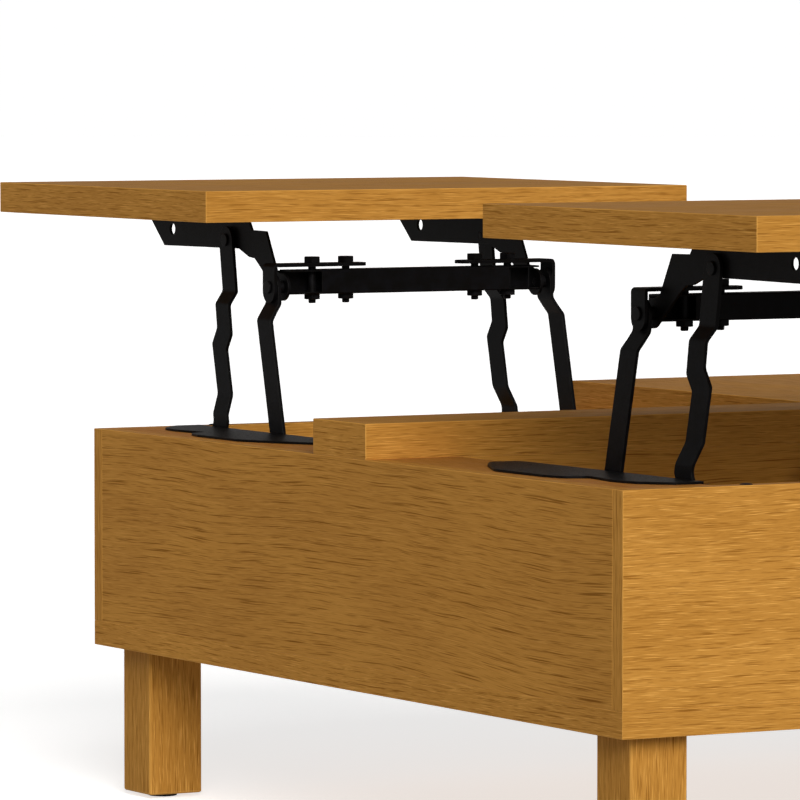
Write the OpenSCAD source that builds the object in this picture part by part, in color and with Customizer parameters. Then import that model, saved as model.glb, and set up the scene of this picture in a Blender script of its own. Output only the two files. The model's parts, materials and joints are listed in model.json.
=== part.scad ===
// Coffee table with two lids that lift up and swing out on parallel arms.
// Origin: middle of the footprint, on the floor. +X runs from the front panel to the rear cubbies,
// +Y from the right end to the left end, +Z up. Drawn with both lids raised.

/* [Case] */
// Width of the case from end board to end board, along Y
case_w = 1050; // [1000:10:1200]
// Depth of the case from the front panel to the open rear, along X
case_d = 1050; // [950:10:1200]
// Height of the panels from the bottom board to the rim
panel_h = 198; // [170:1:260]
// Thickness of the upright boards and the rails
board_t = 18; // [16:1:20]
// Thickness of the bottom board
base_t = 25; // [18:1:30]
// Width of the rails that carry the lift mechanisms
rail_w = 85.6; // [80:0.1:90]

/* [Top] */
// Thickness of each lid
lid_t = 31.5; // [28:0.5:38]
// Depth of each lid from front to rear, along X
lid_d = 562; // [540:1:600]
// Width of the fixed strip between the lids
strip_w = 105; // [90:1:130]
// Gap between a lid and the fixed strip
strip_gap = 2; // [1.5:0.5:4]
// Gap between a lid and the fixed rear top
rear_gap = 9; // [5:1:12]
// Height of a closed lid's underside above the rim
lid_seat = 3; // [3:0.5:5]

/* [Legs] */
// Height of each leg
leg_h = 150; // [100:5:200]
// Side of each square leg
leg_w = 60; // [45:1:80]
// Distance of each leg from the edges of the bottom board
leg_inset = 22; // [10:1:60]
// Diameter of each glide
glide_d = 32; // [25:1:40]
// Height of each glide
glide_h = 4; // [3:0.5:8]

/* [Linkage] */
// Distance between the two pivots of each arm
arm_r = 206.3; // [204:0.1:208]
// Lean of the raised arms past upright, outwards, in degrees
arm_lean = 4; // [3:0.5:5]
// Drop of the closed arms below level, in degrees
arm_drop = 2.42; // [2:0.02:3]
// Distance of the rear arm's top pivot from the end face when raised
pivot_y = 52.5; // [48:0.5:56]
// Distance of the rear arm's top pivot below the lid
pivot_drop = 24; // [23.5:0.5:25]
// Distance between the two arms, along Y
arm_gap_y = 112.5; // [110:0.5:116]
// Distance that the front arm's pivots lie below the rear arm's
arm_gap_z = 45; // [44:1:48]

/* [Steel] */
// Width of the arms
arm_w = 28; // [22:1:28]
// Width of the spreader strips
tongue_w = 25; // [20:1:25]
// Thickness of the arms and of the spreader strips
arm_t = 3.5; // [3:0.1:3.5]
// Thickness of the base plates
plate_t = 2.5; // [2:0.1:3]
// Thickness of the lid brackets
bracket_t = 3; // [2.5:0.1:3]
// Side of the square spreader tube
tube_w = 25; // [20:1:25]
// Wall of the spreader tube
tube_wall = 2; // [1.5:0.1:3]
// Diameter of the pivot pins and the spreader bolts
pin_d = 8; // [8:0.1:8.5]

/* [Hidden] */
$fn = 48;

// Finishes
oak = "#b9772a";
oak_edge = "#8f6426";
black_steel = "#1c1c1e";
black_bolt = "#2a2a2c";
black_rubber = "#141414";

// Which lid and which end of it: the right lid and the front end are drawn, the others are mirrored
RIGHT = 0;
LEFT = 1;
FRONT = 0;
REAR = 1;

// Heights
leg_top = glide_h + leg_h;
panel_z = leg_top + base_t;
rim_z = panel_z + panel_h;

// Case plan, measured from the front panel (x) and from the lid's own end face (y)
divider_y = (case_w - strip_w) / 2;
lid_w = divider_y - strip_gap;
rear_x = lid_d + rear_gap;
cross_x = lid_d - board_t;
inner_w = case_w - 2 * board_t;
top_t = lid_seat + lid_t;
cleat_h = 30;

// Travel of a lid, and its underside when raised, above the rim
lid_out = arm_r * (sin(arm_lean) + cos(arm_drop));
lid_rise = arm_r * (cos(arm_lean) + sin(arm_drop));
lid_z = lid_seat + lid_rise;

// Pivots with the lid raised, as [y, z] from the end face and the rim
guide_top = [pivot_y, lid_z - pivot_drop];
guide_foot = guide_top + arm_r * [sin(arm_lean), -cos(arm_lean)];
lift_top = guide_top + [arm_gap_y, -arm_gap_z];
lift_foot = guide_foot + [arm_gap_y, -arm_gap_z];

// Layers of the mechanism, as x positions from the front face
web_x = board_t + rail_w;
foot_x = web_x + plate_t + 1.6;
knee_x = foot_x + 8;
guide_top_x = knee_x + 9.6;
strip_x = web_x + 11.9;
lift_top_x = strip_x + arm_t + 0.2;
bracket_x = guide_top_x + arm_t + 2;
tube_x = bracket_x + bracket_t + 1;
tube_l = lid_d - 2 * tube_x;

// Guide arm: kink just above the rim and crank half way up, as distances off the pivot line
guide_kink_z = 8;
guide_kink_in = 8.5;
guide_crank_low = 84;
guide_crank_high = 100;
guide_crank_out = 4.2;
guide_crank_in = 7.5;
// Lift arm: elbow below the rim and kink under the top pivot
lift_bend = lift_foot + [19.7, 48.8];
lift_kink = lift_top + [2.2, -26.5];
// Heights between which each arm joggles sideways
guide_foot_bend = [15, 35];
guide_top_bend = [127.5, 140.5];
lift_top_bend = [115, 132];

// Fits
pin_r = pin_d / 2;
running = 0.05;
open_pivot = 0.35;
pin_head_r = 8;
spacer_r = 6.5;
side_gap = 0.15;

// Spreader
tube_lift = 5;
tube_gap = 3;
tube_cut = 5;
tube_low = lift_top.y + tube_lift - tube_w / 2;
leg_low = tube_low + tube_w + tube_gap;
strip_l = 111.5;
bolt_at = [166, 205];
bolt_head_h = 6.5;
bolt_corner_r = 9;

// Screws of the base plates as [x, y], and of the lid brackets as y
plate_screws = [[76, 65], [63, 219], [86, 310]];
bracket_screw_x = bracket_x + 18;
bracket_screw_y = [-105, -15, 70];
screw_r = 2.25;
screw_head_r = 4.8;
screw_l = 16;

// Rubber bumpers as [x, y]
bumper_r = 6;
bumper_h = lid_seat - 0.2;
bumper_at = [[135, board_t / 2], [lid_d - 135, board_t / 2]];

// Left of the line from a to b, at unit length
function normal(a, b) = let (d = (b - a) / norm(b - a)) [-d.y, d.x];
// Mitred normal at point i of a route
function mitre(p, i) =
    i == 0 ? normal(p[0], p[1]) :
    i == len(p) - 1 ? normal(p[i - 1], p[i]) :
    let (s = normal(p[i - 1], p[i]) + normal(p[i], p[i + 1])) 2 * s / (s * s);
// One side of a strip of width w along a route, and the other side on the way back
function way_out(p, w) = [for (i = [0 : len(p) - 1]) p[i] + w / 2 * mitre(p, i)];
function way_back(p, w) = [for (i = [len(p) - 1 : -1 : 0]) p[i] - w / 2 * mitre(p, i)];
// Outline of a strip of width w with square ends
function band(p, w) = concat(way_out(p, w), way_back(p, w));
// Half circle of radius r round the end b of a route that arrives from a
function round_end(a, b, r) =
    let (h = atan2(b.y - a.y, b.x - a.x), steps = 16)
    [for (k = [1 : steps - 1]) b + r * [cos(h + 90 - 180 * k / steps), sin(h + 90 - 180 * k / steps)]];
// v turned by angle a
function turned(v, a) = [v.x * cos(a) - v.y * sin(a), v.x * sin(a) + v.y * cos(a)];
// Arc of radius r in the corner at b between a and c
function corner_arc(a, b, c, r) =
    let (u = (a - b) / norm(a - b), v = (c - b) / norm(c - b), half = acos(u * v) / 2,
         centre = b + (u + v) / norm(u + v) * r / sin(half), arm = b + u * r / tan(half) - centre,
         sweep = 180 - 2 * half, way = sign(cross(u, v)), steps = ceil(sweep / 10))
    [for (k = [0 : steps]) centre + turned(arm, -way * sweep * k / steps)];
// Outline with its corners rounded, each by its own radius
function rounded(p, radii) = let (n = len(p))
    [for (i = [0 : n - 1]) each corner_arc(p[(i + n - 1) % n], p[i], p[(i + 1) % n], radii[i])];
// Outline of a strip of width w with a square end at a and a round end at b
function tongue(a, b, w) = let (n = w / 2 * normal(a, b))
    concat([a + n, b + n], round_end(a, b, w / 2), [b - n, a - n]);
// Outline of a strip of width w with round ends
function round_band(p, w) = let (n = len(p) - 1) concat(
    way_out(p, w), round_end(p[n - 1], p[n], w / 2),
    way_back(p, w), round_end(p[1], p[0], w / 2));
// Point on a line through a pivot pair at height z, moved along y
function on_guide_line(z, dy) =
    let (k = (z - guide_foot.y) / (guide_top.y - guide_foot.y))
    [guide_foot.x + k * (guide_top.x - guide_foot.x) + dy, z];

// Places a piece drawn for the front end of the right lid at any of the four mechanisms
module at_mechanism(lid, end) {
    mirror([0, lid, 0])
        translate([-case_d / 2 + end * lid_d, -case_w / 2, rim_z])
            mirror([end, 0, 0])
                children();
}

// Places a piece drawn for the right half at either half
module at_half(lid) {
    at_mechanism(lid, FRONT) children();
}

// Places children drawn from the front face, the right end face and the rim
module in_case() {
    at_mechanism(RIGHT, FRONT) children();
}

// Board from corner p with size s
module board(p, s) {
    translate(p) cube(s);
}

// Plate with a y-z outline, its outer face at x
module yz_plate(x, t) {
    translate([x, 0, 0])
        rotate([90, 0, 90])
            linear_extrude(height = t)
                children();
}

// Cylinder along x
module rod_x(p, x, l, r) {
    translate([x, p.x, p.y])
        rotate([0, 90, 0])
            cylinder(h = l, r = r);
}

// Flat bar, bent in its own plane along route and joggled sideways along levels
module flat_arm(route, levels) {
    reach = 40;
    intersection() {
        yz_plate(foot_x - reach / 2, 2 * reach) polygon(round_band(route, arm_w));
        translate([0, lift_top.x + 2 * reach, 0])
            rotate([90, 0, 0])
                linear_extrude(height = lift_top.x + 4 * reach)
                    polygon(band(levels, arm_t));
    }
}

// Hexagon along z
module hexagon(z, h) {
    translate([0, 0, z]) cylinder(h = h, r = bolt_corner_r, $fn = 6);
}

// Countersunk screw, its head's top at the origin, pointing down, its head h deep
module wood_screw(h) {
    translate([0, 0, -h]) cylinder(h = h, r1 = screw_r, r2 = screw_head_r);
    translate([0, 0, -screw_l]) cylinder(h = screw_l - h, r = screw_r);
}

// ---- Case ----

module front_panel() {
    color(oak) in_case() board([0, board_t, -panel_h], [board_t, inner_w, panel_h]);
}

module end_board(lid) {
    color(oak) at_half(lid) board([0, 0, -panel_h], [case_d, board_t, panel_h]);
}

// Middle of each leg, from the front face and the end face of its own half
function leg_x(end) = end == FRONT ? leg_inset + leg_w / 2 : case_d - leg_inset - leg_w / 2;
leg_y = leg_inset + leg_w / 2;
leg_bolt_gap = 26;
leg_bolt_l = base_t + 40;

module leg_bolt_places(lid, end) {
    at_half(lid)
        for (s = [-1, 1])
            translate([leg_x(end) + s * leg_bolt_gap / 2, leg_y, -panel_h])
                children();
}

module bottom_board() {
    color(oak)
        difference() {
            in_case() board([0, 0, -panel_h - base_t], [case_d, case_w, base_t]);
            for (lid = [RIGHT, LEFT], end = [FRONT, REAR])
                leg_bolt_places(lid, end)
                    translate([0, 0, -base_t - 1]) cylinder(h = base_t + 2, r = pin_r);
        }
}

module divider(lid) {
    color(oak) at_half(lid)
        board([board_t, divider_y, -panel_h], [cross_x - board_t, board_t, panel_h]);
}

module cross_divider() {
    color(oak) in_case() board([cross_x, board_t, -panel_h], [board_t, inner_w, panel_h]);
}

module cubby_partition() {
    color(oak) in_case()
        board([lid_d, (case_w - board_t) / 2, -panel_h], [case_d - lid_d, board_t, panel_h]);
}

module top_cleats() {
    color(oak_edge)
        for (lid = [RIGHT, LEFT])
            at_half(lid)
                board([lid_d, board_t, -cleat_h],
                      [board_t + rear_gap, case_w / 2 - 1.5 * board_t, cleat_h]);
}

// The rear rails end just past their base plates, the front ones at the long dividers
module rail(lid, end) {
    rail_end = end == REAR ? 385 : divider_y;
    color(oak_edge)
        at_mechanism(lid, end)
            difference() {
                board([board_t, board_t, -board_t], [rail_w, rail_end - board_t, board_t]);
                for (s = plate_screws)
                    translate([s.x, s.y, plate_t]) wood_screw(plate_t);
            }
}

module centre_strip() {
    color(oak) in_case() board([0, divider_y, 0], [rear_x, strip_w, top_t]);
}

module rear_top() {
    color(oak) in_case() board([rear_x, 0, 0], [case_d - rear_x, case_w, top_t]);
}

module leg(lid, end) {
    color(oak)
        difference() {
            at_half(lid)
                board([leg_x(end) - leg_w / 2, leg_inset, -rim_z + glide_h], [leg_w, leg_w, leg_h]);
            leg_bolt_places(lid, end)
                translate([0, 0, -leg_bolt_l]) cylinder(h = leg_bolt_l, r = pin_r);
        }
}

module leg_bolts() {
    color(black_bolt)
        for (lid = [RIGHT, LEFT], end = [FRONT, REAR])
            leg_bolt_places(lid, end) {
                cylinder(h = 2, r = 10);
                hexagon(2, 5);
                translate([0, 0, -leg_bolt_l]) cylinder(h = leg_bolt_l, r = pin_r);
            }
}

module leg_glides() {
    color(black_rubber)
        for (lid = [RIGHT, LEFT], end = [FRONT, REAR])
            at_half(lid)
                translate([leg_x(end), leg_y, -rim_z])
                    cylinder(h = glide_h, r1 = glide_d / 2 - 1.5, r2 = glide_d / 2);
}

module lid_bumpers() {
    color(black_rubber)
        for (lid = [RIGHT, LEFT], p = bumper_at)
            at_half(lid)
                translate([p.x, p.y, 0])
                    cylinder(h = bumper_h, r1 = bumper_r, r2 = bumper_r - 1);
}

// ---- Lift mechanism, fixed side ----

plate_outline = [
    [web_x + plate_t, 34], [76, 34], [48, 64], [46, 100], [54, 148], [31, 156], [25, 182],
    [25, 272], [54, 334], [72, 362], [web_x - 2, 362], [web_x + plate_t, 346]
];
plate_corner_r = [1, 14, 24, 30, 10, 10, 20, 40, 30, 10, 8, 1];
web_outline = [
    [34, 0], [240, 0], [lift_foot.x + 26, lift_foot.y], [lift_foot.x + 12, lift_foot.y - 20],
    [lift_foot.x - 12, lift_foot.y - 20], [guide_foot.x - 8, guide_foot.y - 22], [34, -24]
];
// The stop pin meets the raised lift arm's outer edge, a little above its foot
stop_pin_r = 4;
stop_pin_rise = 25;
stop_pin_at = lift_foot
    + stop_pin_rise * (lift_bend - lift_foot) / norm(lift_bend - lift_foot)
    + (arm_w / 2 + stop_pin_r + side_gap) * normal(lift_foot, lift_bend);

module base_plate(lid, end) {
    color(black_steel)
        at_mechanism(lid, end)
            difference() {
                union() {
                    linear_extrude(height = plate_t)
                        polygon(rounded(plate_outline, plate_corner_r));
                    yz_plate(web_x, plate_t) polygon(web_outline);
                }
                for (s = plate_screws)
                    translate([s.x, s.y, plate_t]) wood_screw(plate_t);
                rod_x(guide_foot, web_x - 1, plate_t + 2, pin_r);
                rod_x(lift_foot, web_x - 1, plate_t + 2, pin_r);
                rod_x(stop_pin_at, web_x - 1, plate_t + 2, stop_pin_r);
            }
}

module base_plate_screws() {
    color(black_bolt)
        for (lid = [RIGHT, LEFT], end = [FRONT, REAR], s = plate_screws)
            at_mechanism(lid, end)
                translate([s.x, s.y, plate_t]) wood_screw(plate_t);
}

// Riveted pin: shank through web and arm, shoulder between them, head inside
module base_pivot_pins() {
    shoulder_x = web_x + plate_t;
    head_x = foot_x + arm_t + side_gap;
    color(black_bolt)
        for (lid = [RIGHT, LEFT], end = [FRONT, REAR], p = [guide_foot, lift_foot])
            at_mechanism(lid, end) {
                rod_x(p, web_x, head_x - web_x + 1, pin_r);
                rod_x(p, shoulder_x, foot_x - side_gap - shoulder_x, spacer_r);
                rod_x(p, head_x, 3, pin_head_r);
            }
}

module arm_stop_pins() {
    color(black_bolt)
        for (lid = [RIGHT, LEFT], end = [FRONT, REAR])
            at_mechanism(lid, end)
                rod_x(stop_pin_at, web_x, foot_x + arm_t - web_x, stop_pin_r);
}

// ---- Lift mechanism, moving side ----

module lift_arm(lid, end) {
    low_x = foot_x + arm_t / 2;
    high_x = lift_top_x + arm_t / 2;
    color(black_steel)
        at_mechanism(lid, end)
            difference() {
                flat_arm([lift_foot, lift_bend, lift_kink, lift_top],
                         [[low_x, lift_foot.y - arm_w], [low_x, lift_top_bend[0]],
                          [high_x, lift_top_bend[1]], [high_x, lift_top.y + arm_w]]);
                rod_x(lift_foot, foot_x - 1, arm_t + 2, pin_r + running);
                rod_x(lift_top, lift_top_x - 1, arm_t + 2, pin_r + running);
            }
}

module guide_arm(lid, end) {
    low_x = foot_x + arm_t / 2;
    mid_x = knee_x + arm_t / 2;
    high_x = guide_top_x + arm_t / 2;
    color(black_steel)
        at_mechanism(lid, end)
            difference() {
                flat_arm([guide_foot, on_guide_line(guide_kink_z, guide_kink_in),
                          on_guide_line(guide_crank_low, -guide_crank_out),
                          on_guide_line(guide_crank_high, guide_crank_in), guide_top],
                         [[low_x, guide_foot.y - arm_w], [low_x, guide_foot_bend[0]],
                          [mid_x, guide_foot_bend[1]], [mid_x, guide_top_bend[0]],
                          [high_x, guide_top_bend[1]], [high_x, guide_top.y + arm_w]]);
                rod_x(guide_foot, foot_x - 1, arm_t + 2, pin_r + running);
                rod_x(guide_top, guide_top_x - 1, arm_t + 2, pin_r + open_pivot);
            }
}

// Angle strip that ties the lift arm to the spreader tube
module spreader_strip(lid, end) {
    strip_high = leg_low + arm_t;
    leg_end = strip_x + strip_l - tongue_w / 2;
    color(black_steel)
        at_mechanism(lid, end)
            difference() {
                union() {
                    yz_plate(strip_x, arm_t)
                        polygon(tongue([lift_top.x, strip_high], lift_top - [0, arm_t], tongue_w));
                    translate([0, 0, leg_low])
                        linear_extrude(height = arm_t)
                            polygon(tongue([strip_x, lift_top.x], [leg_end, lift_top.x], tongue_w));
                }
                rod_x(lift_top, strip_x - 1, arm_t + 2, pin_r + running);
                for (x = bolt_at)
                    translate([x, lift_top.x, leg_low - 1]) cylinder(h = arm_t + 2, r = pin_r);
            }
}

// Square tube, its right-hand wall cut away at both ends as far as the first bolt
module spreader_tube(lid) {
    bore = tube_w - 2 * tube_wall;
    near_y = lift_top.x - tube_w / 2;
    cut_y = lid == RIGHT ? near_y : near_y + tube_w - tube_wall;
    color(black_steel)
        at_half(lid)
            difference() {
                board([tube_x, near_y, tube_low], [tube_l, tube_w, tube_w]);
                board([tube_x - 1, near_y + tube_wall, tube_low + tube_wall], [tube_l + 2, bore, bore]);
                for (m = [0, 1])
                    translate([m * lid_d, 0, 0])
                        mirror([m, 0, 0]) {
                            board([tube_x - 1, cut_y - 1, tube_low + tube_wall],
                                  [bolt_at[0] + tube_cut - tube_x + 1, tube_wall + 2, bore]);
                            for (x = bolt_at)
                                translate([x, lift_top.x, tube_low - 1])
                                    cylinder(h = tube_w + 2, r = pin_r);
                        }
            }
}

module spreader_bolts(lid) {
    nut_h = 5.5;
    tail = 4;
    nut_z = tube_low - nut_h;
    color(black_bolt)
        for (end = [FRONT, REAR], x = bolt_at)
            at_mechanism(lid, end)
                translate([x, lift_top.x, 0]) {
                    hexagon(leg_low + arm_t, bolt_head_h);
                    translate([0, 0, nut_z - tail])
                        cylinder(h = leg_low + arm_t - nut_z + tail, r = pin_r);
                    hexagon(nut_z, nut_h);
                }
}

// ---- Lids ----

bracket_end = -134;
bracket_flange_w = 34;
bracket_tip_r = 14;
bracket_outline = [
    [bracket_end, 0], [-95.5, -33.8], [71.6, -32.6], [94, -40.6], [106, -41.6], [119, -50.4],
    [lift_top.x - 10, lift_top.y - lid_z - 9.8], [lift_top.x + 9.9, lift_top.y - lid_z + 9.9],
    [152, -52], [130.4, -13.2], [99.7, -12.8], [90.4, 0]
];
bracket_hole_at = [-77, -16];
bracket_hole_r = 6;

module lid(side) {
    color(oak)
        at_half(side)
            difference() {
                board([0, -lid_out, lid_z], [lid_d, lid_w, lid_t]);
                for (x = [bracket_screw_x, lid_d - bracket_screw_x], y = bracket_screw_y)
                    translate([x, y, lid_z - bracket_t]) mirror([0, 0, 1]) wood_screw(bracket_t);
            }
}

module lid_bracket(lid, end) {
    color(black_steel)
        at_mechanism(lid, end)
            difference() {
                union() {
                    yz_plate(bracket_x, bracket_t)
                        translate([0, lid_z])
                            union() {
                                polygon(bracket_outline);
                                translate(lift_top - [0, lid_z]) circle(r = bracket_tip_r);
                            }
                    board([bracket_x, bracket_end, lid_z - bracket_t],
                          [bracket_flange_w, 90 - bracket_end, bracket_t]);
                }
                rod_x(bracket_hole_at + [0, lid_z], bracket_x - 1, bracket_t + 2, bracket_hole_r);
                rod_x(guide_top, bracket_x - 1, bracket_t + 2, pin_r);
                rod_x(lift_top, bracket_x - 1, bracket_t + 2, pin_r);
                for (y = bracket_screw_y)
                    translate([bracket_screw_x, y, lid_z - bracket_t])
                        mirror([0, 0, 1]) wood_screw(bracket_t);
            }
}

module bracket_screws(lid) {
    color(black_bolt)
        for (end = [FRONT, REAR], y = bracket_screw_y)
            at_mechanism(lid, end)
                translate([bracket_screw_x, y, lid_z - bracket_t])
                    mirror([0, 0, 1]) wood_screw(bracket_t);
}

// Rivet fixed in the bracket: head outside the arm, spacer between arm and bracket
module lid_pivot_pin(p, arm_x, outer_x) {
    head_h = 1.8;
    rod_x(p, outer_x - side_gap - head_h, bracket_x + bracket_t - outer_x + side_gap + head_h, pin_r);
    rod_x(p, outer_x - side_gap - head_h, head_h, spacer_r);
    rod_x(p, arm_x + arm_t + side_gap, bracket_x - arm_x - arm_t - side_gap, spacer_r);
}

module lid_pivot_pins(lid) {
    color(black_bolt)
        for (end = [FRONT, REAR])
            at_mechanism(lid, end) {
                lid_pivot_pin(guide_top, guide_top_x, guide_top_x);
                lid_pivot_pin(lift_top, lift_top_x, strip_x);
            }
}

front_panel();
end_board(RIGHT);  // right_end_board
end_board(LEFT);  // left_end_board
bottom_board();
divider(RIGHT);  // right_divider
divider(LEFT);  // left_divider
cross_divider();
cubby_partition();
top_cleats();
rail(RIGHT, FRONT);  // front_right_rail
rail(RIGHT, REAR);  // rear_right_rail
rail(LEFT, FRONT);  // front_left_rail
rail(LEFT, REAR);  // rear_left_rail
centre_strip();
rear_top();
leg(RIGHT, FRONT);  // front_right_leg
leg(RIGHT, REAR);  // rear_right_leg
leg(LEFT, FRONT);  // front_left_leg
leg(LEFT, REAR);  // rear_left_leg
leg_bolts();
leg_glides();
lid_bumpers();
base_plate(RIGHT, FRONT);  // front_right_base_plate
base_plate(RIGHT, REAR);  // rear_right_base_plate
base_plate(LEFT, FRONT);  // front_left_base_plate
base_plate(LEFT, REAR);  // rear_left_base_plate
base_plate_screws();
base_pivot_pins();
arm_stop_pins();
lid(RIGHT);  // right_lid
lid(LEFT);  // left_lid
lid_bracket(RIGHT, FRONT);  // right_front_lid_bracket
lid_bracket(RIGHT, REAR);  // right_rear_lid_bracket
lid_bracket(LEFT, FRONT);  // left_front_lid_bracket
lid_bracket(LEFT, REAR);  // left_rear_lid_bracket
bracket_screws(RIGHT);  // right_bracket_screws
bracket_screws(LEFT);  // left_bracket_screws
lid_pivot_pins(RIGHT);  // right_lid_pivot_pins
lid_pivot_pins(LEFT);  // left_lid_pivot_pins
lift_arm(RIGHT, FRONT);  // right_front_lift_arm
lift_arm(RIGHT, REAR);  // right_rear_lift_arm
lift_arm(LEFT, FRONT);  // left_front_lift_arm
lift_arm(LEFT, REAR);  // left_rear_lift_arm
guide_arm(RIGHT, FRONT);  // right_front_guide_arm
guide_arm(RIGHT, REAR);  // right_rear_guide_arm
guide_arm(LEFT, FRONT);  // left_front_guide_arm
guide_arm(LEFT, REAR);  // left_rear_guide_arm
spreader_strip(RIGHT, FRONT);  // right_front_spreader_strip
spreader_strip(RIGHT, REAR);  // right_rear_spreader_strip
spreader_strip(LEFT, FRONT);  // left_front_spreader_strip
spreader_strip(LEFT, REAR);  // left_rear_spreader_strip
spreader_tube(RIGHT);  // right_spreader_tube
spreader_tube(LEFT);  // left_spreader_tube
spreader_bolts(RIGHT);  // right_spreader_bolts
spreader_bolts(LEFT);  // left_spreader_bolts
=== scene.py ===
import json
import math

import bmesh
import bpy
from mathutils import Matrix, Vector

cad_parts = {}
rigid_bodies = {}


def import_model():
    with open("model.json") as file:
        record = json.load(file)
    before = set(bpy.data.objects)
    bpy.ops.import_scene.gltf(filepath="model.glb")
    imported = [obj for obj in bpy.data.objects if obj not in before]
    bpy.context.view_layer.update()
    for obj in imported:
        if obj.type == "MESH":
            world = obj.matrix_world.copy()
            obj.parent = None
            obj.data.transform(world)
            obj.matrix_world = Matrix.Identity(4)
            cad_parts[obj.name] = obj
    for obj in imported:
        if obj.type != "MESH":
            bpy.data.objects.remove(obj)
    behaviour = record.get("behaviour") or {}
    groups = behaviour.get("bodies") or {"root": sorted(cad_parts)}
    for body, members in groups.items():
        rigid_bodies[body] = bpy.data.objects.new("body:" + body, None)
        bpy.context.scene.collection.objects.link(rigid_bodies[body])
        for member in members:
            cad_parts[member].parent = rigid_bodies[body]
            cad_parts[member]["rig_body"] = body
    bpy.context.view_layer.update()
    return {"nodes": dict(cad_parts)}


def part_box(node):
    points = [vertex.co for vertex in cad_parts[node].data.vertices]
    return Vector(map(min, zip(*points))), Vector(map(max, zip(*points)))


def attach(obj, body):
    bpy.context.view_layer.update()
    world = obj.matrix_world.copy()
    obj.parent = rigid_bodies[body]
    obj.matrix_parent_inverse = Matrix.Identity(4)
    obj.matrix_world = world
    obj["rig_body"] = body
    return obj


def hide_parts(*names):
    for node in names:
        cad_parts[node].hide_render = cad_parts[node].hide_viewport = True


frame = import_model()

MM = 0.001
TINY = 0.02 * MM
AXIS_R = 0.05 * MM
NODES = frame["nodes"]
RIGHT, LEFT = "right", "left"
FRONT, REAR = "front", "rear"
X, Y, Z = 0, 1, 2


# ---- Materials ----


class Graph:
    """A material's nodes, with short ways to add them."""

    def __init__(self, name):
        self.material = bpy.data.materials.new(name)
        self.material.use_nodes = True
        self.tree = self.material.node_tree
        self.shader = self.tree.nodes["Principled BSDF"]

    def put(self, socket, value):
        if isinstance(value, bpy.types.NodeSocket):
            self.tree.links.new(value, socket)
        else:
            socket.default_value = value

    def add(self, kind, inputs=(), **settings):
        node = self.tree.nodes.new(kind)
        for key, value in settings.items():
            setattr(node, key, value)
        for key, value in dict(inputs).items():
            self.put(node.inputs[key], value)
        return node

    def calc(self, operation, a, b=0.0, c=0.0):
        node = self.add("ShaderNodeMath", {0: a, 1: b, 2: c}, operation=operation)
        return node.outputs[0]

    def remap(self, value, low, high, to_low=0.0, to_high=1.0):
        """value from low..high onto to_low..to_high, smoothly and clamped."""
        ends = {"From Min": low, "From Max": high, "To Min": to_low, "To Max": to_high}
        node = self.add("ShaderNodeMapRange", {"Value": value, **ends}, interpolation_type="SMOOTHSTEP")
        return node.outputs[0]

    def place(self, u, v, w):
        return self.add("ShaderNodeCombineXYZ", {"X": u, "Y": v, "Z": w}).outputs[0]

    def noise(self, where, detail=2.0, scale=1.0, roughness=0.5):
        sizes = {"Vector": where, "Scale": scale, "Detail": detail, "Roughness": roughness}
        return self.add("ShaderNodeTexNoise", sizes).outputs["Fac"]

    def cells(self, where, scale=1.0):
        return self.add("ShaderNodeTexVoronoi", {"Vector": where, "Scale": scale}).outputs["Distance"]

    def mix(self, amount, a, b):
        node = self.add("ShaderNodeMix", data_type="RGBA")
        self.put(node.inputs["Factor"], amount)
        self.put(node.inputs[6], a)
        self.put(node.inputs[7], b)
        return node.outputs[2]

    def bump(self, height, distance, strength=1.0):
        sizes = {"Height": height, "Distance": distance, "Strength": strength}
        self.put(self.shader.inputs["Normal"], self.add("ShaderNodeBump", sizes).outputs[0])

    def surface(self, **values):
        for key, value in values.items():
            self.put(self.shader.inputs[key.replace("_", " ")], value)


def shade(colour, factor):
    """colour made darker or lighter, its weaker channels more than its strong one."""
    powers = (1.0, 1.27, 1.9)
    return (*(c * factor**p for c, p in zip(colour, powers)), 1.0)


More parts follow.
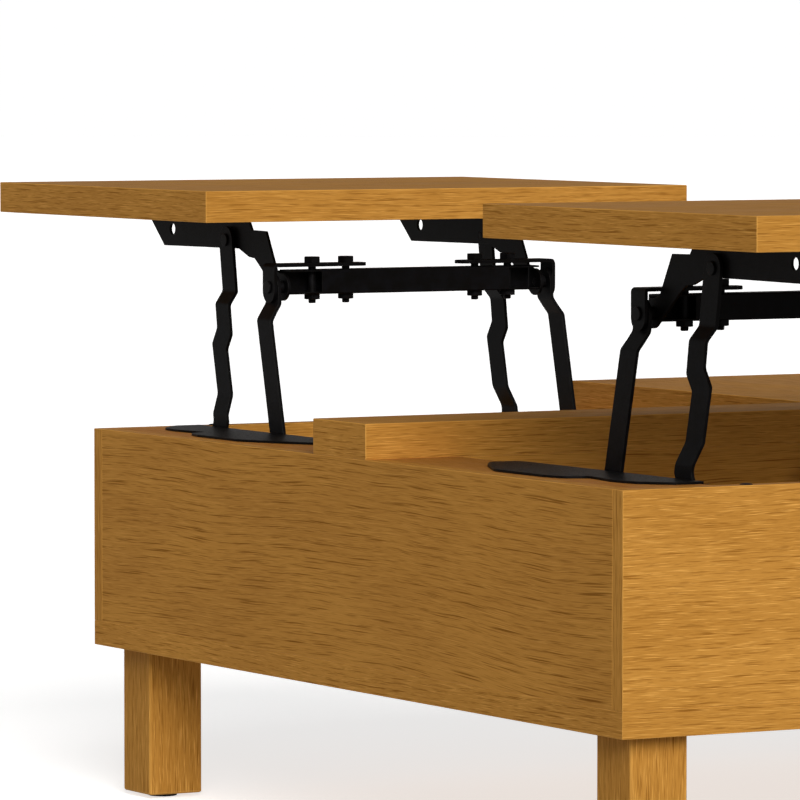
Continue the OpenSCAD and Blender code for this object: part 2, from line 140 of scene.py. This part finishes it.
def oak(name, colour, pore, pore_shade, painted_glint_strength, swirl, ring=9 * MM):
    """Lacquered oak. The grain attribute holds metres along the grain, metres across it and a seed;
    the arris attribute is 1 on eased edges. pore is the usual length and height of a pore line and
    pore_shade its brightness, painted_glint_strength is the strength of the pale streaks painted as
    specular glints (a painted highlight), swirl is how far the grain bends, and ring is the width of a growth
    ring."""
    g = Graph(name)
    grain = g.add("ShaderNodeAttribute", attribute_name="grain")
    arris = g.add("ShaderNodeAttribute", attribute_name="arris").outputs["Fac"]
    split = g.add("ShaderNodeSeparateXYZ", {0: grain.outputs["Vector"]})
    u, v, seed = split.outputs

    def field(per_u, per_v, step, **shape):
        """Noise of per_u by per_v waves to the metre, different for each step."""
        where = g.place(g.calc("MULTIPLY", u, per_u), g.calc("MULTIPLY", v, per_v), g.calc("ADD", seed, step))
        return g.noise(where, **shape)

    slow = g.calc("MULTIPLY", g.calc("SUBTRACT", field(1.7, 2.5, 0.0, detail=1.0), 0.5), 45 * MM * swirl)
    quick = g.calc("MULTIPLY", g.calc("SUBTRACT", field(9.0, 14.0, 3.0, detail=1.0), 0.5), 6 * MM * swirl)
    across = g.calc("ADD", v, g.calc("ADD", slow, quick))

    def streaks(length, height, step):
        """Places in a pattern drawn out along the bent grain."""
        along = g.calc("MULTIPLY", u, 1 / length)
        return g.place(along, g.calc("MULTIPLY", across, 1 / height), g.calc("MULTIPLY_ADD", seed, 7.3, step))

    def lines(longer, higher, step, start, full):
        """Short thin strokes along the grain: 1 in their middle, 0 between them."""
        return g.remap(g.cells(streaks(pore[0] * longer, pore[1] * higher, step)), start, full)

    wander = g.calc("MULTIPLY", field(1.2, 9.0, 5.0), 2.2)
    rings = g.calc("ADD", g.calc("MULTIPLY", across, 1 / ring), wander)
    porous = g.remap(g.calc("SINE", g.calc("MULTIPLY", rings, 2 * math.pi)), -0.9, 0.5, 0.35, 1.0)
    thinned = g.remap(field(14.0, 90.0, 17.0, detail=1.0), 0.3, 0.55, 0.3, 1.0)
    coarse = g.calc("MULTIPLY", lines(1.0, 1.0, 1.0, 0.40, 0.16), thinned)
    middling = g.calc("MULTIPLY", lines(0.5, 0.8, 8.0, 0.38, 0.12), 0.75)
    fine = g.calc("MULTIPLY", lines(0.25, 0.5, 2.0, 0.42, 0.12), 0.5)
    # painted highlight: pale streaks along the grain, painted where specular glints would show
    painted_glint_marks = lines(0.75, 0.6, 4.0, 0.38, 0.12)
    pores = g.calc("MULTIPLY", g.calc("MAXIMUM", coarse, g.calc("MAXIMUM", middling, fine)), porous)
    fibre = g.noise(streaks(30 * MM, 0.9 * MM, 6.0), detail=3.0)
    clouds = field(5.0, 16.0, 9.0, detail=2.0)
    patch = field(1.6, 5.0, 13.0, detail=1.0)

    tone = g.mix(g.remap(clouds, 0.3, 0.7), shade(colour, 0.9), shade(colour, 1.1))
    tone = g.mix(g.remap(patch, 0.35, 0.65, 0.0, 0.5), tone, shade(colour, 0.92))
    tone = g.mix(g.remap(fibre, 0.35, 0.7, 0.0, 0.5), tone, shade(colour, 1.2))
    # painted highlight: the glint streaks lighten the colour by the glint strength
    tone = g.mix(g.calc("MULTIPLY", painted_glint_marks, painted_glint_strength), tone, shade(colour, 1.6))
    tone = g.mix(g.calc("MULTIPLY", porous, 0.14), tone, shade(colour, 0.7))
    tone = g.mix(g.calc("MULTIPLY", pores, 0.9), tone, shade(colour, pore_shade))
    # eased edges painted lighter: partly wear, partly a painted highlight where a rounded edge catches light
    tone = g.mix(g.calc("MULTIPLY", arris, g.remap(clouds, 0.3, 0.6, 0.2, 0.6)), tone, shade(colour, 1.4))
    height = g.calc("SUBTRACT", g.calc("MULTIPLY", fibre, 0.25), pores)
    g.bump(height, 0.1 * MM, 0.5)
    rough = g.calc("MULTIPLY_ADD", pores, 0.22, g.remap(clouds, 0.2, 0.8, 0.46, 0.56))
    g.surface(Base_Color=tone, Roughness=rough, Specular_IOR_Level=0.05)
    return g.material


def painted_steel(name, colour, wear_and_highlight_colour, roughness, speckle):
    """Black coat on steel: orange peel, dust-fine speckle, and eased edges painted a little lighter, partly
    as wear and partly as a painted highlight.
    """
    g = Graph(name)
    where = g.add("ShaderNodeTexCoord").outputs["Object"]
    edge = g.add("ShaderNodeAttribute", attribute_name="wear_and_highlight").outputs["Fac"]
    peel = g.noise(where, detail=2.0, scale=speckle)
    dust = g.noise(where, detail=4.0, scale=speckle * 0.12)
    # painted highlight and wear: eased edges, and every fastener face a little, are mixed towards the lighter
    # edge colour
    wear_and_highlight_amount = g.calc("MULTIPLY", edge, g.remap(dust, 0.35, 0.65, 0.25, 1.0))
    tone = g.mix(g.remap(dust, 0.3, 0.75), shade(colour, 0.8), shade(colour, 1.35))
    tone = g.mix(wear_and_highlight_amount, tone, (*wear_and_highlight_colour, 1.0))
    g.bump(peel, 0.05 * MM, 0.5)
    rough = g.remap(peel, 0.3, 0.7, roughness - 0.06, roughness + 0.08)
    g.surface(Base_Color=tone, Roughness=rough, Specular_IOR_Level=0.08)
    return g.material


def rubber(name):
    """Moulded black rubber, matt, with a faint bloom."""
    g = Graph(name)
    where = g.add("ShaderNodeTexCoord").outputs["Object"]
    bloom = g.noise(where, detail=5.0, scale=240.0)
    tone = g.mix(g.remap(bloom, 0.35, 0.7), (0.009, 0.009, 0.009, 1), (0.022, 0.021, 0.020, 1))
    g.bump(g.noise(where, detail=2.0, scale=2600.0), 0.04 * MM, 0.5)
    g.surface(Base_Color=tone, Roughness=g.remap(bloom, 0.3, 0.7, 0.62, 0.8), Specular_IOR_Level=0.25)
    return g.material


HONEY = (0.510, 0.235, 0.041)
# The fourth number is the strength of the painted highlight glints; oak_side, on the end boards and legs, has
# the most, because the end boards face the key light.
OAK_FACE = oak("oak_face", HONEY, (95 * MM, 1.9 * MM), 0.40, 0.35, 1.0)
OAK_SIDE = oak("oak_side", HONEY, (48 * MM, 1.7 * MM), 0.50, 0.95, 0.45)
OAK_BAND = oak("oak_band", HONEY, (55 * MM, 1.7 * MM), 0.46, 0.65, 0.35, ring=6 * MM)
OAK_SOLID = oak("oak_solid", (0.44, 0.18, 0.032), (45 * MM, 1.8 * MM), 0.55, 0.4, 0.5, ring=5 * MM)
# The third colour is the lighter edge tone: partly wear, partly a painted highlight.
STEEL = painted_steel("black_powder_coat", (0.0030, 0.0027, 0.0028), (0.012, 0.011, 0.010), 0.42, 900.0)
FASTENER = painted_steel("black_oxide", (0.0036, 0.0034, 0.0036), (0.016, 0.015, 0.015), 0.36, 1500.0)
RUBBER = rubber("black_rubber")


# ---- Mesh helpers ----


def clean_copy(node):
    """The CAD node's mesh with its seams welded and its flat faces made whole."""
    bm = bmesh.new()
    bm.from_mesh(NODES[node].data)
    for face in bm.faces:
        face.material_index = 0
    bmesh.ops.remove_doubles(bm, verts=bm.verts, dist=TINY)
    bmesh.ops.dissolve_limit(bm, angle_limit=math.radians(0.6), verts=bm.verts, edges=bm.edges)
    bmesh.ops.recalc_face_normals(bm, faces=bm.faces)
    return bm


def edge_angle(edge):
    return math.degrees(edge.calc_face_angle(0.0))


def round_edges(bm, edges, width, segments, mark=False):
    """Rounds edges; mark gives the new faces material 1, for mark_rounded to read."""
    if edges:
        bmesh.ops.bevel(bm, geom=edges, offset=width, segments=segments, profile=0.5,
                        affect="EDGES", clamp_overlap=False, material=1 if mark else -1)


def mark_rounded(bm, layer_name):
    """1 on the corners of the faces that round_edges has marked, 0 on all others."""
    layer = bm.loops.layers.float.new(layer_name)
    for face in bm.faces:
        for loop in face.loops:
            loop[layer] = float(face.material_index)
        face.material_index = 0


def smooth_by_angle(mesh, limit=40.0):
    for polygon in mesh.polygons:
        polygon.use_smooth = True
    mesh.set_sharp_from_angle(angle=math.radians(limit))


def finish_piece(bm, name, materials, body, replaced, limit=40.0):
    """Turns a bmesh into a piece that rides on a body and stands for CAD nodes."""
    mesh = bpy.data.meshes.new(name)
    bm.to_mesh(mesh)
    bm.free()
    for material in materials:
        mesh.materials.append(material)
    smooth_by_angle(mesh, limit)
    piece = bpy.data.objects.new(name, mesh)
    bpy.context.scene.collection.objects.link(piece)
    even = piece.modifiers.new("even_normals", "WEIGHTED_NORMAL")
    even.keep_sharp = True
    even.weight = 100
    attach(piece, body)
    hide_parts(*replaced)
    return piece


def body_of(node):
    return NODES[node]["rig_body"]


# ---- Boards ----

PANEL_ARRIS = 0.6 * MM
TOP_ARRIS = 0.9 * MM
LEG_ARRIS = 2.5 * MM


def mark_grain(bm, lo, hi, along, seed):
    """Grain for every face corner: broad faces run along the board, edge bands along their edge.
    Broad faces get material 0 and edge bands material 1."""
    grain = bm.loops.layers.float_vector.new("grain")
    size = hi - lo
    thin = min(range(3), key=lambda axis: size[axis])
    for face in bm.faces:
        facing = max(range(3), key=lambda axis: abs(face.normal[axis]))
        if facing == thin or size[thin] > 0.5 * size[along]:
            run = along if facing != along else (along + 1) % 3
            face.material_index = 0
        else:
            run = 3 - facing - thin
            face.material_index = 1
        cross = 3 - run - facing
        side = facing * 2 + (face.normal[facing] > 0)
        for loop in face.loops:
            at = loop.vert.co
            loop[grain] = Vector((at[run], at[cross], seed * 5.17 + side * 1.93))


def board(node, along, seed, face=OAK_FACE, band=OAK_BAND, arris=PANEL_ARRIS):
    """A board with eased edges, and grain along one axis."""
    lo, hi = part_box(node)
    bm = clean_copy(node)
    long_edges = [e for e in bm.edges if edge_angle(e) > 60 and e.calc_length() > 15 * MM]
    round_edges(bm, long_edges, arris, 3, mark=True)
    mark_rounded(bm, "arris")
    mark_grain(bm, lo, hi, along, seed)
    return finish_piece(bm, node + "_board", [face, band], body_of(node), [node])


def make_case():
    board("front_panel", Y, 1)
    for k, side in enumerate((RIGHT, LEFT)):
        board(f"{side}_end_board", X, 2 + k, face=OAK_SIDE)
        board(f"{side}_divider", X, 4 + k)
        board(f"{side}_lid", X, 6 + k, arris=TOP_ARRIS)
    board("bottom_board", Y, 8)
    board("cross_divider", Y, 9)
    board("cubby_partition", X, 10)
    board("centre_strip", X, 11, arris=TOP_ARRIS)
    board("rear_top", Y, 12, arris=TOP_ARRIS)
    board("top_cleats", Y, 13, face=OAK_SOLID, band=OAK_SOLID)
    places = [(end, side) for end in (FRONT, REAR) for side in (RIGHT, LEFT)]
    for k, (end, side) in enumerate(places):
        board(f"{end}_{side}_rail", Y, 14 + k, face=OAK_SOLID, band=OAK_SOLID)
        board(f"{end}_{side}_leg", Z, 18 + k, face=OAK_SIDE, band=OAK_SIDE, arris=LEG_ARRIS)


# ---- Steel ----


def near(a, b):
    return abs(a - b) < 0.1 * MM


def dress_steel(node, folds=(), fold_r=3.0 * MM, bend_r=2.0 * MM, ease=0.35 * MM):
    """Sheet steel: rounds given folds and the bends across flat bars, then eases every sharp edge."""
    bm = clean_copy(node)
    chosen = [e for e in bm.edges if any(all(test(v.co) for v in e.verts) for test in folds)]
    round_edges(bm, [e for e in chosen if edge_angle(e) > 60], fold_r, 5)
    bends = [e for e in bm.edges if 13.5 < edge_angle(e) < 60 and e.calc_length() > 3 * MM]
    if bend_r:
        round_edges(bm, bends, bend_r, 4)
    sharp = [e for e in bm.edges if edge_angle(e) > 50]
    round_edges(bm, sharp, ease, 2, mark=True)
    # the eased edges take the lighter edge colour: partly wear, partly a painted highlight
    mark_rounded(bm, "wear_and_highlight")
    return finish_piece(bm, node + "_steel", [STEEL], body_of(node), [node])


def well_middle(side):
    lo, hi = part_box(f"{side}_lid")
    return (lo + hi) / 2


def corner_line(node, side, inward):
    """Test for the top edge of an angle piece, on its side towards or away from the well's middle."""
    lo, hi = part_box(node)
    towards_rear = hi.x < well_middle(side).x
    at_x = hi.x if towards_rear == inward else lo.x
    return lambda p: near(p.x, at_x) and near(p.z, hi.z)


def make_tube(side):
    node = f"{side}_spreader_tube"
    lo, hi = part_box(node)
    tests = [lambda p, y=y, z=z: near(p.y, y) and near(p.z, z) for y in (lo.y, hi.y) for z in (lo.z, hi.z)]
    dress_steel(node, tests, fold_r=1.6 * MM, bend_r=0.0, ease=0.25 * MM)


def make_steel():
    for side in (RIGHT, LEFT):
        for end in (FRONT, REAR):
            dress_steel(f"{side}_{end}_lift_arm")
            dress_steel(f"{side}_{end}_guide_arm")
            strip = f"{side}_{end}_spreader_strip"
            dress_steel(strip, [corner_line(strip, side, False)], fold_r=4.2 * MM, bend_r=0.0)
            bracket = f"{side}_{end}_lid_bracket"
            dress_steel(bracket, [corner_line(bracket, side, False)], bend_r=0.0)
            plate = f"{end}_{side}_base_plate"
            dress_steel(plate, [corner_line(plate, side, True)], fold_r=2.2 * MM, bend_r=0.0)
        make_tube(side)


# ---- Fasteners ----

# How much of the lighter edge colour covers every fastener face: partly wear, partly a painted highlight.
FASTENER_WEAR_AND_HIGHLIGHT = 0.25


def islands(node):
    """The separate solids of a CAD node, each as a list of points."""
    bm = bmesh.new()
    bm.from_mesh(NODES[node].data)
    bmesh.ops.remove_doubles(bm, verts=bm.verts, dist=TINY)
    left = set(bm.verts)
    found = []
    for start in bm.verts:
        if start not in left:
            continue
        left.discard(start)
        group = [start]
        for vert in group:
            for edge in vert.link_edges:
                other = edge.other_vert(vert)
                if other in left:
                    left.discard(other)
                    group.append(other)
        found.append([v.co.copy() for v in group])
    bm.free()
    return found


class Turned:
    """A fastener read from CAD points: its axis, and the steps of its outline along that axis."""

    def __init__(self, points, axis):
        self.axis = axis
        lo = Vector(tuple(min(p[k] for p in points) for k in range(3)))
        hi = Vector(tuple(max(p[k] for p in points) for k in range(3)))
        self.middle = (lo + hi) / 2
        rings = {}
        for p in points:
            off = p - self.middle
            off[axis] = 0.0
            rings.setdefault(round(p[axis], 5), []).append(off.length)
        self.steps = []
        radius = None
        for at in sorted(rings):
            radii = sorted({round(r, 5) for r in rings[at]})
            arrive = min(radii, key=lambda r: abs(r - radius)) if radius is not None else radii[0]
            leave = radii[0] if arrive == radii[-1] else radii[-1]
            if radius is not None:
                self.steps.append((start, radius, at, arrive))
            start, radius = at, leave

    def frame(self, at, flip=False):
        """Matrix whose z runs along the axis, from a place on it."""
        place = self.middle.copy()
        place[self.axis] = at
        way = Vector((0.0, 0.0, 0.0))
        way[self.axis] = -1.0 if flip else 1.0
        turn = way.to_track_quat("Z", "Y") if self.axis != Z or flip else Matrix.Identity(3).to_quaternion()
        return Matrix.Translation(place) @ turn.to_matrix().to_4x4()


def skin(bm, rings, matrix):
    """Quads between rings of points, capped at both ends."""
    made = [[bm.verts.new(matrix @ Vector(p)) for p in ring] for ring in rings]
    count = len(rings[0])
    for low, high in zip(made, made[1:]):
        for k in range(count):
            j = (k + 1) % count
            bm.faces.new((low[k], low[j], high[j], high[k]))
    bm.faces.new(list(reversed(made[0])))
    bm.faces.new(made[-1])


def circle(radius, z, count=40):
    step = 2 * math.pi / count
    return [(radius * math.cos(k * step), radius * math.sin(k * step), z) for k in range(count)]


def eased_outline(corners, radius, steps=4):
    """A stepped outline of (r, z) corners with each inner corner rounded."""
    out = [corners[0]]
    for before, at, after in zip(corners, corners[1:], corners[2:]):
        b, a, c = Vector(before), Vector(at), Vector(after)
        reach = min(radius, 0.45 * (a - b).length, 0.45 * (c - a).length)
        p = a + (b - a).normalized() * reach
        q = a + (c - a).normalized() * reach
        for k in range(steps + 1):
            t = k / steps
            out.append(tuple(p * (1 - t) ** 2 + a * 2 * t * (1 - t) + q * t**2))
    out.append(corners[-1])
    return out


def lathe(bm, outline, matrix):
    skin(bm, [circle(max(r, AXIS_R), z) for r, z in outline], matrix)


def turned_pin(bm, pin, ease):
    """A pin or rivet: the CAD outline, each corner rounded."""
    base = pin.steps[0][0]
    corners = [(AXIS_R, 0.0)]
    for start, r0, end, r1 in pin.steps:
        corners += [(r0, start - base), (r1, end - base)]
    corners.append((AXIS_R, pin.steps[-1][2] - base))
    lathe(bm, eased_outline(corners, ease), pin.frame(base))


def hexagon_r(angle, flat_r):
    """Distance to a hexagon's side at an angle, with its flats flat_r from the middle."""
    sixth = math.pi / 3
    return flat_r / math.cos((angle % sixth) - sixth / 2)


def hexagon_ring(flat_r, limit, z, slope, count=48):
    """Hexagon cut by a cone: beyond the radius limit the ring drops by slope times the excess."""
    ring = []
    for k in range(count):
        angle = 2 * math.pi * k / count
        r = hexagon_r(angle, flat_r)
        ring.append((r * math.cos(angle), r * math.sin(angle), z - slope * max(r - limit, 0.0)))
    return ring


def hexagon_body(bm, corner_r, height, matrix, both=False):
    """A hex head or nut with its corners chamfered on top, or on both faces."""
    flat_r = corner_r * math.cos(math.pi / 6)
    rim = flat_r * 0.97
    slope = 0.55
    top = [hexagon_ring(flat_r, rim, height, slope), circle(rim * 0.97, height, 48)]
    if both:
        low = [circle(rim * 0.97, 0.0, 48), hexagon_ring(flat_r, rim, 0.0, -slope)]
    else:
        low = [hexagon_ring(flat_r, corner_r * 2, 0.0, 0.0)]
    skin(bm, low + top, matrix)


def thread(bm, radius, length, matrix, pitch=1.25 * MM):
    """A threaded end with a true helix and a chamfered tip."""
    count = 28
    rows = max(int(length / pitch * 6), 6)
    depth = 0.5 * MM
    rings = [circle(radius - depth, 0.0, count)]
    for row in range(rows + 1):
        z = length * row / rows
        tip = max(0.0, (z - length + 0.8 * MM) / (0.8 * MM)) * 0.7 * MM
        ring = []
        for k in range(count):
            angle = 2 * math.pi * k / count
            wave = 0.5 - 0.5 * math.cos(2 * math.pi * (z / pitch) - angle)
            r = radius - depth * wave - tip
            ring.append((r * math.cos(angle), r * math.sin(angle), z + 0.01 * MM))
        rings.append(ring)
    skin(bm, rings, matrix)


def recessed_head(bm, screw_r, head_r, cone_h, length, matrix):
    """A countersunk screw pointing down from its head's top, with a cross recess."""
    count = 48
    arm = 0.62 * MM
    reach = head_r * 0.62
    sink = 1.1 * MM

    def depth(x, y):
        inside = min(abs(x), abs(y))
        wall = min(max((arm - inside) / (0.25 * MM), 0.0), 1.0)
        end = min(max((reach - math.hypot(x, y)) / (0.5 * MM), 0.0), 1.0)
        return -sink * wall * end

    rings = []
    pitch = 1.8 * MM
    rows = 36
    for row in range(rows + 1):
        z = -length + (length - cone_h) * row / rows
        tip = min(1.0, 0.15 + (z + length) / (3 * MM))
        ring = []
        for k in range(count):
            angle = 2 * math.pi * k / count
            wave = (0.5 + 0.5 * math.cos(2 * math.pi * z / pitch - angle)) ** 3
            r = screw_r * tip * (0.78 + 0.22 * wave)
            ring.append((r * math.cos(angle), r * math.sin(angle), z))
        rings.append(ring)
    rings.append(circle(head_r - 0.15 * MM, -0.25 * MM, count))
    rings.append(circle(head_r - 0.15 * MM, -0.1 * MM, count))
    for k in range(14):
        r = (head_r - 0.3 * MM) * (1 - k / 14)
        rings.append([(x, y, depth(x, y)) for x, y, _ in circle(r, 0.0, count)])
    rings.append([(x, y, -sink) for x, y, _ in circle(AXIS_R, 0.0, count)])
    skin(bm, rings, matrix)


def group_piece(node, build, material=FASTENER, axis=X, suffix="_turned"):
    """One piece for a CAD node that holds several alike fasteners."""
    bm = bmesh.new()
    for points in islands(node):
        build(bm, Turned(points, axis))
    bmesh.ops.recalc_face_normals(bm, faces=bm.faces)
    layer = bm.loops.layers.float.new("wear_and_highlight")
    for face in bm.faces:
        for loop in face.loops:
            loop[layer] = FASTENER_WEAR_AND_HIGHLIGHT
    return finish_piece(bm, node + suffix, [material], body_of(node), [node], limit=35.0)


def build_pin(bm, pin):
    turned_pin(bm, pin, 0.9 * MM)


def build_screw(bm, screw):
    """Wood screws point down from a base plate or up into a lid."""
    low_r, high_r = screw.steps[0][1], screw.steps[-1][3]
    low, high = screw.steps[0][0], screw.steps[-1][2]
    up = high_r < low_r
    cone = screw.steps[0] if up else screw.steps[-1]
    matrix = screw.frame(low if up else high, flip=up)
    recessed_head(bm, min(low_r, high_r), max(low_r, high_r), cone[2] - cone[0], high - low, matrix)


def build_spreader_bolt(bm, bolt):
    """Hex head on the strip, plain shank through the tube, nut and thread below."""
    (low, shank_r, nut_low, _), (_, nut_r, nut_high, _), _, (head_low, head_r, high, _) = bolt.steps
    hexagon_body(bm, head_r, high - head_low, bolt.frame(head_low))
    hexagon_body(bm, nut_r, nut_high - nut_low, bolt.frame(nut_low), both=True)
    lathe(bm, [(shank_r, 0.0), (shank_r, head_low - nut_high)], bolt.frame(nut_high))
    thread(bm, shank_r, nut_low - low, bolt.frame(nut_low, flip=True))


def build_leg_bolt(bm, bolt):
    """Washer and hex head on the bottom board, thread down into the leg."""
    (low, shank_r, washer_low, _), (_, washer_r, washer_high, _), (_, head_r, high, _) = bolt.steps
    washer = [(AXIS_R, 0.0), (washer_r, 0.0), (washer_r, washer_high - washer_low)]
    washer.append((AXIS_R, washer_high - washer_low))
    lathe(bm, eased_outline(washer, 0.4 * MM), bolt.frame(washer_low))
    hexagon_body(bm, head_r, high - washer_high, bolt.frame(washer_high))
    thread(bm, shank_r, washer_low - low, bolt.frame(washer_low, flip=True))


def build_glide(bm, glide):
    """A round foot with a domed rim and a shallow groove round its side."""
    low, low_r, high, high_r = glide.steps[0]
    h = high - low
    outline = [(AXIS_R, 0.0), (low_r, 0.0), (low_r + 0.5 * MM, h * 0.45), (low_r - 0.2 * MM, h * 0.55)]
    outline += [(high_r, h * 0.68), (high_r, h), (AXIS_R, h)]
    lathe(bm, eased_outline(outline, 0.8 * MM), glide.frame(low))


def build_bumper(bm, bumper):
    """A round stick-on bumper with a domed top."""
    low, low_r, high, high_r = bumper.steps[0]
    h = high - low
    steps = 8
    dome = [(high_r * math.cos(t), h * 0.45 + h * 0.55 * math.sin(t))
            for t in (math.pi / 2 * k / steps for k in range(steps))]
    outline = [(AXIS_R, 0.0), (low_r, 0.0), (low_r, h * 0.25)] + dome + [(AXIS_R, h)]
    lathe(bm, outline, bumper.frame(low))


def make_fasteners():
    group_piece("base_pivot_pins", build_pin)
    group_piece("arm_stop_pins", build_pin)
    group_piece("base_plate_screws", build_screw, axis=Z)
    group_piece("leg_bolts", build_leg_bolt, axis=Z)
    group_piece("leg_glides", build_glide, RUBBER, axis=Z, suffix="_moulded")
    group_piece("lid_bumpers", build_bumper, RUBBER, axis=Z, suffix="_moulded")
    for side in (RIGHT, LEFT):
        group_piece(f"{side}_lid_pivot_pins", build_pin)
        group_piece(f"{side}_bracket_screws", build_screw, axis=Z)
        group_piece(f"{side}_spreader_bolts", build_spreader_bolt, axis=Z)


# ---- Stage ----

FLOOR_R = 45.0
DOME_R = 44.0
SURROUND = 0.355
OVERHEAD = 0.08
KEY_STRENGTH = 2.8
KEY_SPREAD = 34
KEY_TOWARDS = (0.34, 1.0, -0.56)
LENS = 292.1
CAMERA_AT = (-3.509, -5.448, 0.779)
CAMERA_DOWN = 3.2
CAMERA_TURN = -29.25


def only_camera(stage):
    """Puts up a stage piece that lights nothing and isn't mirrored, so that it doesn't tint the wood."""
    stage.visible_diffuse = False
    stage.visible_glossy = False
    stage.visible_shadow = False
    bpy.context.scene.collection.objects.link(stage)


def glowing(name, base, strength):
    g = Graph(name)
    g.surface(Base_Color=(base, base, base, 1), Roughness=0.9, Specular_IOR_Level=0.1)
    g.surface(Emission_Color=(1, 1, 1, 1), Emission_Strength=strength)
    return g.material


def stage_piece(name, bm, material):
    mesh = bpy.data.meshes.new(name)
    bm.to_mesh(mesh)
    bm.free()
    mesh.materials.append(material)
    only_camera(bpy.data.objects.new(name, mesh))


def make_stage():
    """A plain pale floor, and a white dome round the whole scene."""
    floor = bmesh.new()
    bmesh.ops.create_circle(floor, cap_ends=True, segments=96, radius=FLOOR_R)
    stage_piece("floor", floor, glowing("floor_white", 0.86, 0.66))
    dome = bmesh.new()
    bmesh.ops.create_icosphere(dome, subdivisions=4, radius=DOME_R)
    stage_piece("dome", dome, glowing("dome_white", 0.0, 1.0))


def make_world():
    """An even grey surround, darker overhead as under a black ceiling."""
    world = bpy.data.worlds.new("studio")
    world.use_nodes = True
    tree = world.node_tree
    background = tree.nodes["Background"]
    background.inputs["Color"].default_value = (1.0, 0.99, 0.98, 1.0)
    towards = tree.nodes.new("ShaderNodeTexCoord").outputs["Generated"]
    height = tree.nodes.new("ShaderNodeSeparateXYZ")
    dimming = tree.nodes.new("ShaderNodeMapRange")
    dimming.inputs["From Min"].default_value = 0.0
    dimming.inputs["From Max"].default_value = 1.0
    dimming.inputs["To Min"].default_value = SURROUND
    dimming.inputs["To Max"].default_value = OVERHEAD
    tree.links.new(towards, height.inputs[0])
    tree.links.new(height.outputs["Z"], dimming.inputs["Value"])
    tree.links.new(dimming.outputs[0], background.inputs["Strength"])
    bpy.context.scene.world = world


def make_key():
    """A soft key from behind the camera, high and a little to its right."""
    key = bpy.data.lights.new("key", "SUN")
    key.energy = KEY_STRENGTH
    key.angle = math.radians(KEY_SPREAD)
    key.color = (1.0, 0.985, 0.96)
    lamp = bpy.data.objects.new("key", key)
    lamp.rotation_euler = Vector(KEY_TOWARDS).to_track_quat("-Z", "Y").to_euler()
    bpy.context.scene.collection.objects.link(lamp)


def make_camera():
    data = bpy.data.cameras.new("camera")
    data.lens = LENS
    data.sensor_width = 36.0
    data.clip_end = 200.0
    camera = bpy.data.objects.new("camera", data)
    camera.location = CAMERA_AT
    camera.rotation_euler = (math.radians(90 - CAMERA_DOWN), 0.0, math.radians(CAMERA_TURN))
    bpy.context.scene.collection.objects.link(camera)
    bpy.context.scene.camera = camera


make_camera()
make_case()
make_steel()
make_fasteners()
make_stage()
make_world()
make_key()
bpy.context.scene.view_settings.view_transform = "Standard"
